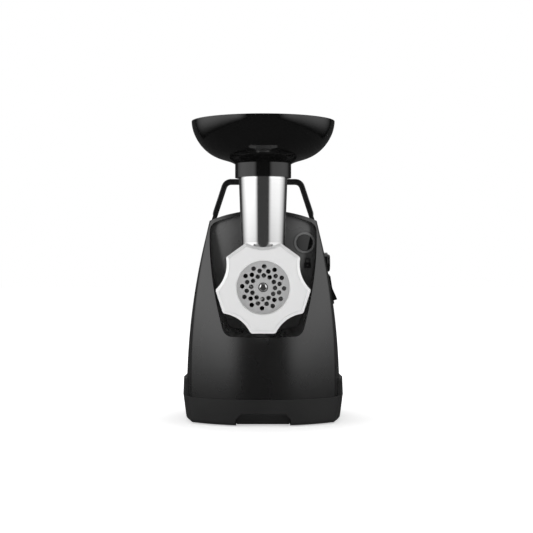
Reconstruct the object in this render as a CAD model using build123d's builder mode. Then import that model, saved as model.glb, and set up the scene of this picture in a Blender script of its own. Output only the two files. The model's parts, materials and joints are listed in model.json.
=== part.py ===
from build123d import *

import os
from math import acos, atan2, cos, degrees, pi, radians, sin, sqrt, tan

# Electric meat grinder with an upright feed tube, a five-lobed screw ring and a geared motor.
# Millimetres, +Z up, the meat comes out towards -Y. The origin is on the table, under the
# middle of the machine. Every piece is a solid of its own, written to parts/.

os.makedirs("parts", exist_ok=True)

# ---------------------------------------------------------------- driving dimensions
AUGER_Z = 152.0  # height of the auger's axis above the table
FEED_Y = -54.0  # axis of the upright feed tube
BASE_TOP = 30.0  # seam between the base and the tower
BODY_TOP = 237.0  # top of the tower on the centre line
FLOOR_GAP = 0.8  # underside of the base above the table
WALL = 2.6  # moulded walls
SEAT = 0.15  # gap between pieces that are fixed together
FIT = 0.06  # radial gap of a shaft in its bush
CLEAR = 0.3  # gap between pieces that move past each other

# Tower, given at the base seam and narrowed towards the top with the square of the height
TOWER_HALF_WIDTH = 86.7
TOWER_TAPER = 28.2
TOWER_FRONT = -69.0
FRONT_LEAN = 44.0
TOWER_BACK = 131.0
BACK_LEAN = 46.0
CROWN_RADIUS = 163.0
FRONT_RADIUS = 116.0  # bow of the front, seen from above
SIDE_RUN = 36.0  # from the front corner back to the widest point
BACK_DRAW = 4.0  # how much narrower the back is than the widest point
FRONT_CORNER = 6.0
SIDE_BEND = 50.0
BACK_CORNER = 32.0
TOWER_LEVELS = (28.0, 80.0, 130.0, 180.0, 215.0, 245.0)
SPLIT_Y = 6.0  # where the front and rear shells meet

# Base
BASE_HALF_WIDTH = 91.0
BASE_FRONT = -69.8
BASE_BACK = 132.0
BASE_FLARE = 7.0
BASE_DRAW = 4.0  # how far the base draws in from its top to its underside
BASE_EDGE = 5.0  # radius of the lower edge
EAR_TOP = 49.0  # raised sides of the base
ARCH_HALF_BOTTOM = 37.0
ARCH_HALF_TOP = 24.5
ARCH_TOP = 14.2
ARCH_DEPTH = 24.0

# Recess in the front of the tower, with the curved panel at its back
POCKET_FRONT = -75.0
POCKET_BACK = -6.0
POCKET_HALF_TOP = 59.6
POCKET_SHOULDER = 221.5  # height where the sides meet the arched top
POCKET_CROWN = 233.0
FACE_FRONT = -19.0
FACE_RADIUS = 150.0
FACE_THICK = 2.5

# Grinding head
RING_FRONT = -106.0
RING_BACK = -82.0
RING_LIP = 3.5
LOBES = 5
LOBE_RADIUS = 50.4
LOBE_HALF = 13.1
LOBE_CORNER = 3.2
RING_BEVEL = 3.0
RING_GROOVE = 0.5  # width and depth of the line inside the bevel
SCALLOP_RADIUS = 42.3
OUTLET_RADIUS = 28.0
PLATE_RADIUS = 31.0  # 62 mm across, the size known as No. 8
PLATE_THICK = 5.0
PLATE_HOLE = 2.45
PLATE_ROWS = ((12.6, 0.0), (17.7, 15.0), (22.1, 0.0))  # radius of each row and its turn
PLATE_TURN = -3.0
HOLES_PER_ROW = 12
AUGER_RADIUS = 24.8
BARREL_BORE = 25.5
FEED_BORE = 21.5
FEED_TOP = 284.0
FEED_TOP_RADIUS = 26.5
LOCK_ANGLE = 30.0  # turn between locked and free to pull out

# Hopper tray: half widths of the bowl's front half and the heights they lie at
TRAY_PROFILE = (
    (31.4, 286.0),
    (39.2, 289.3),
    (49.4, 292.6),
    (60.8, 299.1),
    (70.0, 308.9),
    (76.4, 322.0),
    (78.0, 332.0),
)
TRAY_BACK = 115.0
TRAY_WALL = 2.4

# Carry handle, a strap bent into an arch
HANDLE_FRONT = -5.0
HANDLE_BACK = 17.0
HANDLE_TOP = 273.0
HANDLE_HALF_TOP = 44.4
HANDLE_SLOPE = 18.2
HANDLE_THICK = 5.5
HANDLE_CORNER = 11.0
HANDLE_EDGE = 1.2

# Gear train: teeth of each pinion and gear, and the module of each pair
PRESSURE = radians(25.0)
ADDENDUM = 0.8
DEDENDUM = 1.05
BACKLASH = 0.1  # taken off each tooth
PINION_TEETH = 12
FIRST_TEETH, FIRST_MODULE = 60, 1.0
SECOND_TEETH, SECOND_MODULE = 48, 1.25
THIRD_TEETH, THIRD_MODULE = 42, 1.5
PLATE_GAUGE = 4.0  # gearbox side plates
BOX_FRONT = -5.0  # front face of the front gearbox plate
BOX_BACK = 33.0  # back face of the rear gearbox plate
AXLE_RADIUS = 4.0
AXLE_BORE = AXLE_RADIUS + FIT
SHAFT_RADIUS = 8.0


# ---------------------------------------------------------------- shared geometry
def upright(depth):
    """Plane across the machine at a depth, facing forwards: x stays x and y is the height."""
    return Plane.XZ.offset(-depth)


def rise(height):
    """How far up the tower a height is: 0 at the base seam, 1 at the top."""
    return (height - BASE_TOP) / (BODY_TOP - BASE_TOP)


def tower_half_width(height):
    return TOWER_HALF_WIDTH - TOWER_TAPER * rise(height) ** 2


def arc_drop(radius, half):
    """How far an arc of this radius falls away at a distance from its middle."""
    return radius - sqrt(radius**2 - half**2)


def plan_outline(height, half_width, flare, front, back):
    """Section seen from above: bowed front, sides that open backwards, round back corners."""
    front_half = half_width - flare
    corner_y = front + arc_drop(FRONT_RADIUS, front_half)
    widest_y = corner_y + SIDE_RUN
    with BuildSketch(Plane.XY.offset(height)) as section:
        with BuildLine():
            ThreePointArc((-front_half, corner_y), (0, front), (front_half, corner_y))
            Polyline(
                (front_half, corner_y),
                (half_width, widest_y),
                (half_width - BACK_DRAW, back),
                (BACK_DRAW - half_width, back),
                (-half_width, widest_y),
                (-front_half, corner_y),
            )
        make_face()
        fillet(section.vertices().group_by(Axis.Y)[-1], BACK_CORNER)
        fillet([corner for corner in section.vertices() if abs(corner.Y - widest_y) < 0.01], SIDE_BEND)
        fillet([corner for corner in section.vertices() if abs(corner.Y - corner_y) < 0.01], FRONT_CORNER)
    return section.sketch


def tower_outline(height, inset):
    return plan_outline(
        height,
        tower_half_width(height) - inset,
        7.0 - 6.0 * rise(height),
        TOWER_FRONT + FRONT_LEAN * rise(height) ** 2 + inset,
        TOWER_BACK - BACK_LEAN * rise(height) ** 2 - inset,
    )


def base_outline(height, inset):
    draw = inset + BASE_DRAW * (BASE_TOP - height) / (BASE_TOP - FLOOR_GAP)
    return plan_outline(height, BASE_HALF_WIDTH - draw, BASE_FLARE, BASE_FRONT + draw, BASE_BACK - draw)


def crown_outline(inset):
    """Everything under the arched top, seen from the front."""
    reach = TOWER_HALF_WIDTH + WALL
    top = BODY_TOP - inset
    side = top - arc_drop(CROWN_RADIUS, reach)
    with BuildSketch(upright(TOWER_BACK + WALL)) as section:
        with BuildLine():
            ThreePointArc((-reach, side), (0, top), (reach, side))
            Polyline((reach, side), (reach, 0), (-reach, 0), (-reach, side))
        make_face()
    return section.sketch


def tower_part(inset):
    """The tower as a solid block, its faces moved inwards by inset."""
    with BuildPart() as tower:
        for height in TOWER_LEVELS:
            add(tower_outline(height, inset))
        loft()
        extrude(crown_outline(inset), amount=TOWER_BACK - POCKET_FRONT, mode=Mode.INTERSECT)
    return tower.part


def base_part(inset, lowest, highest):
    """The base as a solid block between two heights, its faces moved inwards by inset."""
    with BuildPart() as base:
        add(base_outline(lowest, inset))
        add(base_outline(highest, inset))
        loft(ruled=True)
        fillet(base.edges().group_by(Axis.Z)[0], BASE_EDGE - inset)
    return base.part


def pocket_outline(depth, bottom, bottom_half, bulge, grow):
    """Recess seen from the front: narrow round bottom, bowed sides and an arched top."""
    top_half = POCKET_HALF_TOP + grow
    low_half = bottom_half + grow
    low = bottom - grow
    bow = (top_half + low_half) / 2 + bulge
    middle = (POCKET_SHOULDER + low) / 2
    with BuildSketch(upright(depth)) as section:
        with BuildLine():
            Line((-low_half, low), (low_half, low))
            ThreePointArc((low_half, low), (bow, middle), (top_half, POCKET_SHOULDER))
            ThreePointArc((top_half, POCKET_SHOULDER), (0, POCKET_CROWN + grow), (-top_half, POCKET_SHOULDER))
            ThreePointArc((-top_half, POCKET_SHOULDER), (-bow, middle), (-low_half, low))
        make_face()
        fillet(section.vertices().group_by(Axis.Z)[0], 11.0 + grow)
    return section.sketch


def pocket_part(grow):
    """The recess as a solid that narrows towards the back, with its floor rising."""
    with BuildPart() as pocket:
        add(pocket_outline(POCKET_BACK, 106.0, 37.0, 7.3, grow))
        add(pocket_outline(POCKET_FRONT, 95.0, 44.5, 5.4, grow))
        loft()
    return pocket.part


def turn_profile(*points, mode=Mode.ADD):
    """Revolve a closed outline of (radius, depth) points about the auger's axis."""
    with BuildSketch(Plane.XY.offset(AUGER_Z)) as profile:
        with BuildLine():
            Polyline(*points, close=True)
        make_face()
    revolve(profile.sketch, axis=Axis((0, 0, AUGER_Z), (0, 1, 0)), mode=mode)


def bars(centres, radius, front, back, bore=0.0, mode=Mode.ADD):
    """Round bars along Y between two depths, each with an optional hole through it."""
    with BuildSketch(upright(back)) as section:
        with Locations(*centres):
            Circle(radius)
            if bore:
                Circle(bore, mode=Mode.SUBTRACT)
    extrude(section.sketch, amount=back - front, mode=mode)


def step_to(start, distance, angle):
    """Point at a distance and angle from another, across the machine."""
    return (start[0] + distance * cos(angle), start[1] + distance * sin(angle))


# Axes of the gear train, each (x, z)
OUTPUT_AXIS = (0.0, AUGER_Z)
FIRST_CENTRES = (PINION_TEETH + FIRST_TEETH) * FIRST_MODULE / 2
SECOND_CENTRES = (PINION_TEETH + SECOND_TEETH) * SECOND_MODULE / 2
THIRD_CENTRES = (PINION_TEETH + THIRD_TEETH) * THIRD_MODULE / 2
SECOND_AXIS = step_to(OUTPUT_AXIS, THIRD_CENTRES, radians(-138.0))
FIRST_AXIS = step_to(SECOND_AXIS, SECOND_CENTRES, radians(-45.0))
MOTOR_AXIS = (0.0, FIRST_AXIS[1] - sqrt(FIRST_CENTRES**2 - FIRST_AXIS[0] ** 2))


def involute(angle):
    return tan(angle) - angle


def gear(centre, teeth, module, toward, front, back, bore=0.0, gap=False):
    """Spur gear along Y, with a tooth, or a gap, facing another axis."""
    pitch_radius = teeth * module / 2
    base_radius = pitch_radius * cos(PRESSURE)
    tip_radius = pitch_radius + ADDENDUM * module
    root_radius = pitch_radius - DEDENDUM * module
    flank_start = max(base_radius, root_radius)
    half_tooth = pi / (2 * teeth) - BACKLASH / (2 * pitch_radius)
    flank = []
    for share in (0.0, 0.45, 1.0):
        radius = flank_start + share * (tip_radius - flank_start)
        half = half_tooth + involute(PRESSURE) - involute(acos(base_radius / radius))
        flank.append((radius, half))
    if root_radius < flank_start:
        flank.insert(0, (root_radius, flank[0][1]))
    start = atan2(toward[1] - centre[1], toward[0] - centre[0]) + (pi / teeth if gap else 0.0)
    points = []
    for tooth in range(teeth):
        middle = start + tooth * 2 * pi / teeth
        points += [step_to(centre, radius, middle - half) for radius, half in flank]
        points += [step_to(centre, radius, middle + half) for radius, half in reversed(flank)]
    with BuildSketch(upright(back)) as section:
        with BuildLine():
            Polyline(*points, close=True)
        make_face()
        if bore:
            with Locations(centre):
                Circle(bore, mode=Mode.SUBTRACT)
    extrude(section.sketch, amount=back - front)


tower_outer = tower_part(0.0)
tower_inner = tower_part(WALL)
tower_cover = tower_part(-SEAT)
pocket_void = pocket_part(0.0)
pocket_skin = pocket_part(WALL)

# ---------------------------------------------------------------- base
SHELL_SCREWS = ((72.0, 110.0), (74.0, 52.0))  # x and height of the screws on each side
BASE_SCREWS = ((70.0, -16.0), (72.0, 70.0))  # x and depth of the screws on each side
FEET = ((52.0, -29.0), (58.0, 100.0))
FOOT_RADIUS = 8.5
PLATE_LOW = 2.5
PLATE_HIGH = 5.0

base_outer = base_part(0.0, FLOOR_GAP, BASE_TOP)
base_inner = base_part(WALL, FLOOR_GAP - 1.0, BASE_TOP + 1.0)


def arch_part(grow):
    """Finger scoop under the front edge: an arch from the front, a quarter ellipse from the side."""
    with BuildPart() as arch:
        with BuildSketch(upright(BASE_FRONT + ARCH_DEPTH + grow)) as opening:
            with BuildLine():
                Polyline(
                    (-ARCH_HALF_BOTTOM - grow, -1.0),
                    (ARCH_HALF_BOTTOM + grow, -1.0),
                    (ARCH_HALF_TOP + grow, ARCH_TOP + grow),
                    (-ARCH_HALF_TOP - grow, ARCH_TOP + grow),
                    close=True,
                )
            make_face()
            fillet(opening.vertices().group_by(Axis.Z)[-1], 6.0 + grow)
        extrude(amount=ARCH_DEPTH + grow + 10.0)
        with BuildSketch(Plane.YZ):
            with BuildLine():
                EllipticalCenterArc(
                    (BASE_FRONT, -1.0), ARCH_DEPTH + grow, ARCH_TOP + grow + 1.0, start_angle=0, arc_size=90
                )
                Polyline(
                    (BASE_FRONT, ARCH_TOP + grow),
                    (BASE_FRONT - 10.0, ARCH_TOP + grow),
                    (BASE_FRONT - 10.0, -1.0),
                    (BASE_FRONT + ARCH_DEPTH + grow, -1.0),
                )
            make_face()
        extrude(amount=ARCH_HALF_BOTTOM + 10.0, both=True, mode=Mode.INTERSECT)
    return arch.part


arch_void = arch_part(0.0)
arch_skin = arch_part(2.2) & base_outer

# Raised sides of the base, outside the tower's wall
with BuildPart() as ears:
    for height, inset in ((BASE_TOP - 1.0, 0.0), (EAR_TOP + 1.0, 0.8)):
        half_width = BASE_HALF_WIDTH - inset
        add(plan_outline(height, half_width, BASE_FLARE, BASE_FRONT + inset, BASE_BACK - inset))
    loft()
    with BuildSketch(Plane.YZ) as ear_side:
        with BuildLine():
            Polyline((-22.0, 20.0), (100.0, 20.0), (90.0, EAR_TOP), (-12.0, EAR_TOP), close=True)
        make_face()
        fillet(ear_side.vertices().group_by(Axis.Y)[-1], 9.0)
    extrude(amount=BASE_HALF_WIDTH + 5.0, both=True, mode=Mode.INTERSECT)
    add(tower_cover, mode=Mode.SUBTRACT)

# Blocks on the inside of the base's walls that take the screws of the bottom plate
with BuildPart() as base_blocks:
    for x, y in BASE_SCREWS:
        with BuildSketch(Plane.XY.offset(PLATE_HIGH + SEAT)):
            with Locations((x + 10.0, y), (-x - 10.0, y)):
                Rectangle(32.0, 12.0)
    extrude(amount=BASE_TOP - PLATE_HIGH - 1.0)
    add(base_outer, mode=Mode.INTERSECT)

with BuildPart() as base_shell:
    add(base_outer)
    add(base_inner, mode=Mode.SUBTRACT)
    extrude(base_outline(BASE_TOP, 1.0), amount=-3.0)
    extrude(tower_outline(BASE_TOP, WALL + SEAT), amount=4.0)
    extrude(tower_outline(BASE_TOP, WALL + 2.2), amount=8.0, both=True, mode=Mode.SUBTRACT)
    add(base_blocks.part)
    add(ears.part)
    add(arch_skin)
    add(arch_void, mode=Mode.SUBTRACT)
    for x, y in BASE_SCREWS:
        with BuildSketch(Plane.XY.offset(PLATE_HIGH)):
            with Locations((x, y), (-x, y)):
                Circle(2.1)
    extrude(amount=14.0, mode=Mode.SUBTRACT)
base_shell.part.label = "base_shell"
export_step(base_shell.part, "parts/base_shell.step")

with BuildPart() as bottom_plate:
    extrude(base_outline(PLATE_LOW, WALL + 0.4), amount=PLATE_HIGH - PLATE_LOW)
    with BuildSketch(Plane.XY):
        with Locations((0, BASE_FRONT)):
            Rectangle(2 * ARCH_HALF_BOTTOM + 6.0, 2 * (ARCH_DEPTH + 3.0))
        with Locations((0, 62.0)):
            with GridLocations(0, 7.0, 1, 9):
                SlotOverall(60.0, 3.0)
        for x, y in FEET:
            with Locations((x, y), (-x, y)):
                Circle(4.1)
        for x, y in BASE_SCREWS:
            with Locations((x, y), (-x, y)):
                Circle(2.2)
    extrude(amount=PLATE_HIGH + 1.0, mode=Mode.SUBTRACT)
bottom_plate.part.label = "bottom_plate"
export_step(bottom_plate.part, "parts/bottom_plate.step")

with BuildPart() as rubber_feet:
    for x, y in FEET:
        with Locations((x, y), (-x, y)):
            Cylinder(FOOT_RADIUS, PLATE_LOW, align=(Align.CENTER, Align.CENTER, Align.MIN))
            Cylinder(4.0, PLATE_HIGH + 1.0, align=(Align.CENTER, Align.CENTER, Align.MIN))
    chamfer(rubber_feet.edges().group_by(Axis.Z)[0], 0.6)
rubber_feet.part.label = "rubber_feet"
export_step(rubber_feet.part, "parts/rubber_feet.step")

with BuildPart() as base_screws:
    for x, y in BASE_SCREWS:
        with Locations((x, y, 0.7), (-x, y, 0.7)):
            Cylinder(4.0, PLATE_LOW - 0.7, align=(Align.CENTER, Align.CENTER, Align.MIN))
            Cylinder(2.0, 15.0, align=(Align.CENTER, Align.CENTER, Align.MIN))
base_screws.part.label = "base_screws"
export_step(base_screws.part, "parts/base_screws.step")

# ---------------------------------------------------------------- tower shells
TONGUE_LOW = 213.0
TONGUE_HIGH = 232.0
REVERSE_AT = (20.0, 178.0)  # depth and height of the round side button
REVERSE_RADIUS = 10.0
ROCKER_AT = (20.0, 148.0)
ROCKER_WIDE = 18.0
ROCKER_TALL = 30.0
ROCKER_LEAN = 9.5  # the side wall leans in by this angle there
RELEASE_AT = (46.6, 200.8)  # x and height of the release button
RELEASE_RADIUS = 9.0
RELEASE_RING = 11.8
LOCK_AT = (50.0, 175.4)  # middle of the padlock's body
CABLE_AT = (46.0, 54.0)  # x and height of the cable inlet
SCREW_HEAD_DEPTH = 58.0
SHOULDER_LOW = 186.0  # height above which the walls beside the recess are solid
HANDLE_FOOT = 222.0  # height the handle's legs run down to
TONGUE_STEP = 2.0  # how much narrower the tongues are than the strap, front and back


def strap_half(height):
    """Half width of the handle, outside to outside, at a height."""
    return HANDLE_HALF_TOP + (HANDLE_TOP - height) * tan(radians(HANDLE_SLOPE))


def tongue(grow, low, high):
    """Flat feet of the handle, sloping like its legs, as a pair of solids."""
    with BuildSketch(upright(HANDLE_BACK - TONGUE_STEP + grow)) as feet:
        for side in (-1.0, 1.0):
            outer = [side * (strap_half(height) - 1.3 + grow) for height in (low, high)]
            inner = [side * (strap_half(height) - 4.9 - grow) for height in (low, high)]
            with BuildLine():
                Polyline((outer[0], low), (outer[1], high), (inner[1], high), (inner[0], low), close=True)
            make_face()
    return extrude(feet.sketch, amount=HANDLE_BACK - HANDLE_FRONT - 2 * TONGUE_STEP + 2 * grow)


def handle_outline(inset, foot, corner):
    """Arch of the handle seen from the front, a distance inside its outer face."""
    top = HANDLE_TOP - inset
    lean = inset / cos(radians(HANDLE_SLOPE))
    with BuildSketch(upright(HANDLE_BACK)) as arch:
        with BuildLine():
            Polyline(
                (lean - strap_half(foot), foot),
                (lean - strap_half(top), top),
                (strap_half(top) - lean, top),
                (strap_half(foot) - lean, foot),
                close=True,
            )
        make_face()
        fillet(arch.vertices().group_by(Axis.Z)[-1], corner)
    return arch.sketch


tongue_slots = tongue(SEAT, TONGUE_LOW - 1.0, BODY_TOP)
rocker_plane = Plane(
    origin=(tower_half_width(ROCKER_AT[1]) - 0.8, *ROCKER_AT),
    x_dir=(0, 1, 0),
    z_dir=(cos(radians(ROCKER_LEAN)), 0, sin(radians(ROCKER_LEAN))),
)

# Screw blocks on the inside of the side walls, running the whole depth of the tower
with BuildPart() as screw_blocks:
    with BuildSketch(upright(TOWER_BACK)):
        for x, height in SHELL_SCREWS:
            with Locations((x + 10.0, height), (-x - 10.0, height)):
                Rectangle(28.0, 10.0)
    extrude(amount=TOWER_BACK + 26.0)
    add(tower_outer, mode=Mode.INTERSECT)

screw_centres = [(side * x, height) for x, height in SHELL_SCREWS for side in (-1.0, 1.0)]

# The walls beside the top of the recess are solid, so the front shell is hollow only below them
with BuildPart() as front_hollow:
    add(tower_inner)
    with BuildSketch(Plane.XY.offset(SHOULDER_LOW)):
        with Locations((0, (POCKET_FRONT + POCKET_BACK) / 2)):
            Rectangle(2 * TOWER_HALF_WIDTH, POCKET_BACK - POCKET_FRONT)
    extrude(amount=BODY_TOP - SHOULDER_LOW, mode=Mode.SUBTRACT)

with BuildPart() as front_shell:
    add(tower_outer)
    add(front_hollow.part, mode=Mode.SUBTRACT)
    add(pocket_skin & tower_outer)
    add(pocket_void, mode=Mode.SUBTRACT)
    add(screw_blocks.part)
    split(bisect_by=upright(SPLIT_Y), keep=Keep.TOP)
    split(bisect_by=Plane.XY.offset(BASE_TOP + SEAT), keep=Keep.TOP)
    add(tongue_slots, mode=Mode.SUBTRACT)
    bars(screw_centres, 2.05, -18.0, SPLIT_Y + 1.0, mode=Mode.SUBTRACT)
front_shell.part.label = "front_shell"
export_step(front_shell.part, "parts/front_shell.step")

with BuildPart() as rear_shell:
    add(tower_outer)
    add(tower_inner, mode=Mode.SUBTRACT)
    add(screw_blocks.part)
    split(bisect_by=upright(SPLIT_Y + SEAT), keep=Keep.BOTTOM)
    split(bisect_by=Plane.XY.offset(BASE_TOP + SEAT), keep=Keep.TOP)
    add(tongue_slots, mode=Mode.SUBTRACT)
    bars(screw_centres, 2.2, SPLIT_Y - 1.0, TOWER_BACK, mode=Mode.SUBTRACT)
    bars(screw_centres, 4.4, SCREW_HEAD_DEPTH, TOWER_BACK + 1.0, mode=Mode.SUBTRACT)
    with BuildSketch(upright(TOWER_BACK + 5.0)):
        with Locations((0, 152.0)):
            with GridLocations(0, 7.0, 1, 10):
                SlotOverall(58.0, 3.0)
        with Locations(CABLE_AT):
            Circle(7.0 + SEAT)
    extrude(amount=45.0, mode=Mode.SUBTRACT)
    with BuildSketch(Plane.YZ.offset(55.0)):
        with Locations(REVERSE_AT):
            Circle(REVERSE_RADIUS + 2.0 + SEAT)
    extrude(amount=40.0, mode=Mode.SUBTRACT)
    with BuildSketch(rocker_plane.offset(-8.0)):
        RectangleRounded(ROCKER_WIDE + 4.0 + 2 * SEAT, ROCKER_TALL + 4.0 + 2 * SEAT, 3.5)
    extrude(amount=14.0, mode=Mode.SUBTRACT)
rear_shell.part.label = "rear_shell"
export_step(rear_shell.part, "parts/rear_shell.step")

with BuildPart() as shell_screws:
    bars(screw_centres, 3.8, SCREW_HEAD_DEPTH + SEAT, SCREW_HEAD_DEPTH + 3.0)
    bars(screw_centres, 1.95, -14.0, SCREW_HEAD_DEPTH + 1.0)
shell_screws.part.label = "shell_screws"
export_step(shell_screws.part, "parts/shell_screws.step")

with BuildPart() as carry_handle:
    handle_depth = HANDLE_BACK - HANDLE_FRONT
    extrude(handle_outline(0.0, HANDLE_FOOT, HANDLE_CORNER), amount=handle_depth)
    handle_opening = handle_outline(HANDLE_THICK, HANDLE_FOOT - 12.0, HANDLE_CORNER - HANDLE_THICK)
    extrude(handle_opening, amount=handle_depth, mode=Mode.SUBTRACT)
    strap_sides = carry_handle.edges().group_by(Axis.Y)
    fillet(strap_sides[0] + strap_sides[-1], HANDLE_EDGE)
    extrude(crown_outline(-SEAT), amount=2 * TOWER_BACK, mode=Mode.SUBTRACT)
    add(tongue(0.0, TONGUE_LOW, TONGUE_HIGH))
carry_handle.part.label = "carry_handle"
export_step(carry_handle.part, "parts/carry_handle.step")

# ---------------------------------------------------------------- panel in the recess
face_axis = (0.0, FACE_FRONT + FACE_RADIUS)


def face_block(radius):
    """Upright cylinder that the curved panel is part of."""
    with BuildPart() as block:
        with Locations((*face_axis, 60.0)):
            Cylinder(radius, 190.0, align=(Align.CENTER, Align.CENTER, Align.MIN))
    return block.part


with BuildPart() as face_plate:
    add(pocket_part(-SEAT))
    add(face_block(FACE_RADIUS), mode=Mode.INTERSECT)
    add(face_block(FACE_RADIUS - FACE_THICK), mode=Mode.SUBTRACT)
    bars([OUTPUT_AXIS], 46.0 + SEAT, -40.0, 20.0, mode=Mode.SUBTRACT)
    bars([RELEASE_AT], RELEASE_RING + SEAT, -40.0, 20.0, mode=Mode.SUBTRACT)
face_plate.part.label = "face_plate"
export_step(face_plate.part, "parts/face_plate.step")

with BuildPart() as lock_mark:
    with BuildSketch(upright(0.0)):
        with Locations((LOCK_AT[0], LOCK_AT[1] + 3.1)):
            SlotCenterPoint((0, 0), (0, 2.6), 5.6)
            SlotCenterPoint((0, 0), (0, 2.6), 3.2, mode=Mode.SUBTRACT)
        with Locations(LOCK_AT):
            RectangleRounded(7.6, 6.2, 0.8)
            Circle(1.0, mode=Mode.SUBTRACT)
    extrude(amount=30.0)
    add(face_block(FACE_RADIUS + 0.4), mode=Mode.INTERSECT)
    add(face_block(FACE_RADIUS + 0.02), mode=Mode.SUBTRACT)
lock_mark.part.label = "lock_mark"
export_step(lock_mark.part, "parts/lock_mark.step")

with BuildPart() as release_bezel:
    bars([RELEASE_AT], RELEASE_RING, -40.0, BOX_FRONT - SEAT, bore=RELEASE_RADIUS + CLEAR)
    add(face_block(FACE_RADIUS + 1.6), mode=Mode.INTERSECT)
release_bezel.part.label = "release_bezel"
export_step(release_bezel.part, "parts/release_bezel.step")

LATCH_AT = (28.2, 180.2)
LATCH_TIP = -17.9
STEM_RADIUS = 3.5
ARM_FRONT = 1.5
with BuildPart() as release_button:
    bars([RELEASE_AT], RELEASE_RADIUS, -40.0, -7.0)
    add(face_block(FACE_RADIUS + 2.6), mode=Mode.INTERSECT)
    bars([RELEASE_AT], STEM_RADIUS, -8.0, ARM_FRONT)
release_button.part.label = "release_button"
export_step(release_button.part, "parts/release_button.step")

with BuildPart() as latch_arm:
    arm_middle = ((RELEASE_AT[0] + LATCH_AT[0]) / 2, (RELEASE_AT[1] + LATCH_AT[1]) / 2)
    arm_slope = degrees(atan2(RELEASE_AT[1] - LATCH_AT[1], RELEASE_AT[0] - LATCH_AT[0]))
    with BuildSketch(upright(ARM_FRONT + 3.5)):
        with Locations(RELEASE_AT, LATCH_AT):
            Circle(STEM_RADIUS)
        with Locations(arm_middle):
            Rectangle(28.0, 6.0, rotation=arm_slope)
    extrude(amount=3.5)
    bars([LATCH_AT], 2.5, LATCH_TIP, ARM_FRONT)
latch_arm.part.label = "latch_arm"
export_step(latch_arm.part, "parts/latch_arm.step")

SPRING_RADIUS = 5.0
with BuildPart() as release_spring:
    with BuildLine() as coil:
        Helix(2.1, 9.2, SPRING_RADIUS, center=(RELEASE_AT[0], 5.7, RELEASE_AT[1]), direction=(0, 1, 0))
    coil_start = coil.line @ 0
    with BuildSketch(Plane(origin=coil_start, z_dir=coil.line % 0)):
        Circle(0.5)
    sweep(is_frenet=True)
release_spring.part.label = "release_spring"
export_step(release_spring.part, "parts/release_spring.step")

with BuildPart() as latch_bracket:
    with BuildSketch(upright(20.0)):
        with Locations((RELEASE_AT[0] + 2.0, RELEASE_AT[1])):
            RectangleRounded(26.0, 14.0, 3.0)
    extrude(amount=4.0)
latch_bracket.part.label = "latch_bracket"
export_step(latch_bracket.part, "parts/latch_bracket.step")

# ---------------------------------------------------------------- side controls
side_plane = Plane(origin=(tower_half_width(REVERSE_AT[1]), *REVERSE_AT), x_dir=(0, 1, 0), z_dir=(1, 0, 0))

with BuildPart() as reverse_bezel:
    with BuildSketch(side_plane.offset(-10.0)):
        Circle(REVERSE_RADIUS + 2.0)
        Circle(REVERSE_RADIUS + CLEAR, mode=Mode.SUBTRACT)
    extrude(amount=11.6)
    fillet(reverse_bezel.edges().group_by(Axis.X)[-1], 0.7)
reverse_bezel.part.label = "reverse_bezel"
export_step(reverse_bezel.part, "parts/reverse_bezel.step")

with BuildPart() as reverse_button:
    with BuildSketch(side_plane.offset(-6.0)):
        Circle(REVERSE_RADIUS)
    extrude(amount=10.4)
    fillet(reverse_button.edges().group_by(Axis.X)[-1], 2.2)
    with BuildSketch(side_plane.offset(-6.0)):
        Circle(3.0)
    extrude(amount=-5.0)
reverse_button.part.label = "reverse_button"
export_step(reverse_button.part, "parts/reverse_button.step")

with BuildPart() as reverse_switch:
    with BuildSketch(side_plane.offset(-14.5)):
        Rectangle(16.0, 12.0)
    extrude(amount=-11.0)
reverse_switch.part.label = "reverse_switch"
export_step(reverse_switch.part, "parts/reverse_switch.step")

ROCKER_PIVOT_DEPTH = 5.0
ROCKER_REST_TILT = 7.0
ROCKER_HALF = ROCKER_TALL / 2
rocker_lean = radians(ROCKER_LEAN + ROCKER_REST_TILT)
key_plane = Plane(
    origin=rocker_plane.offset(-ROCKER_PIVOT_DEPTH).origin,
    x_dir=(-sin(rocker_lean), 0, cos(rocker_lean)),
    z_dir=(0, 1, 0),
)
PIVOT_RADIUS = 1.5
with BuildPart() as rocker_frame:
    with BuildSketch(rocker_plane.offset(-7.5)):
        RectangleRounded(ROCKER_WIDE + 4.0, ROCKER_TALL + 4.0, 3.3)
        Rectangle(ROCKER_WIDE + 2 * CLEAR, ROCKER_TALL + 2 * CLEAR, mode=Mode.SUBTRACT)
    extrude(amount=9.3)
    with BuildSketch(key_plane):
        Circle(PIVOT_RADIUS + FIT)
    extrude(amount=ROCKER_WIDE / 2 + 1.2, both=True, mode=Mode.SUBTRACT)
rocker_frame.part.label = "rocker_frame"
export_step(rocker_frame.part, "parts/rocker_frame.step")

with BuildPart() as rocker_key:
    with BuildSketch(key_plane):
        with BuildLine():
            Polyline(
                (1.0 - ROCKER_HALF, 0),
                (1.0 - ROCKER_HALF, 9.4),
                (0, 7.6),
                (ROCKER_HALF - 1.0, 9.4),
                (ROCKER_HALF - 1.0, 0),
            )
            ThreePointArc((ROCKER_HALF - 1.0, 0), (0, -3.0), (1.0 - ROCKER_HALF, 0))
        make_face()
    extrude(amount=ROCKER_WIDE / 2, both=True)
    with BuildSketch(key_plane):
        Circle(PIVOT_RADIUS)
    extrude(amount=ROCKER_WIDE / 2 + 1.0, both=True)
rocker_key.part.label = "rocker_key"
export_step(rocker_key.part, "parts/rocker_key.step")

with BuildPart() as rocker_switch:
    with BuildSketch(rocker_plane.offset(-10.5)):
        Rectangle(ROCKER_WIDE + 2.0, ROCKER_TALL - 4.0)
    extrude(amount=-12.0)
rocker_switch.part.label = "rocker_switch"
export_step(rocker_switch.part, "parts/rocker_switch.step")

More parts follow.
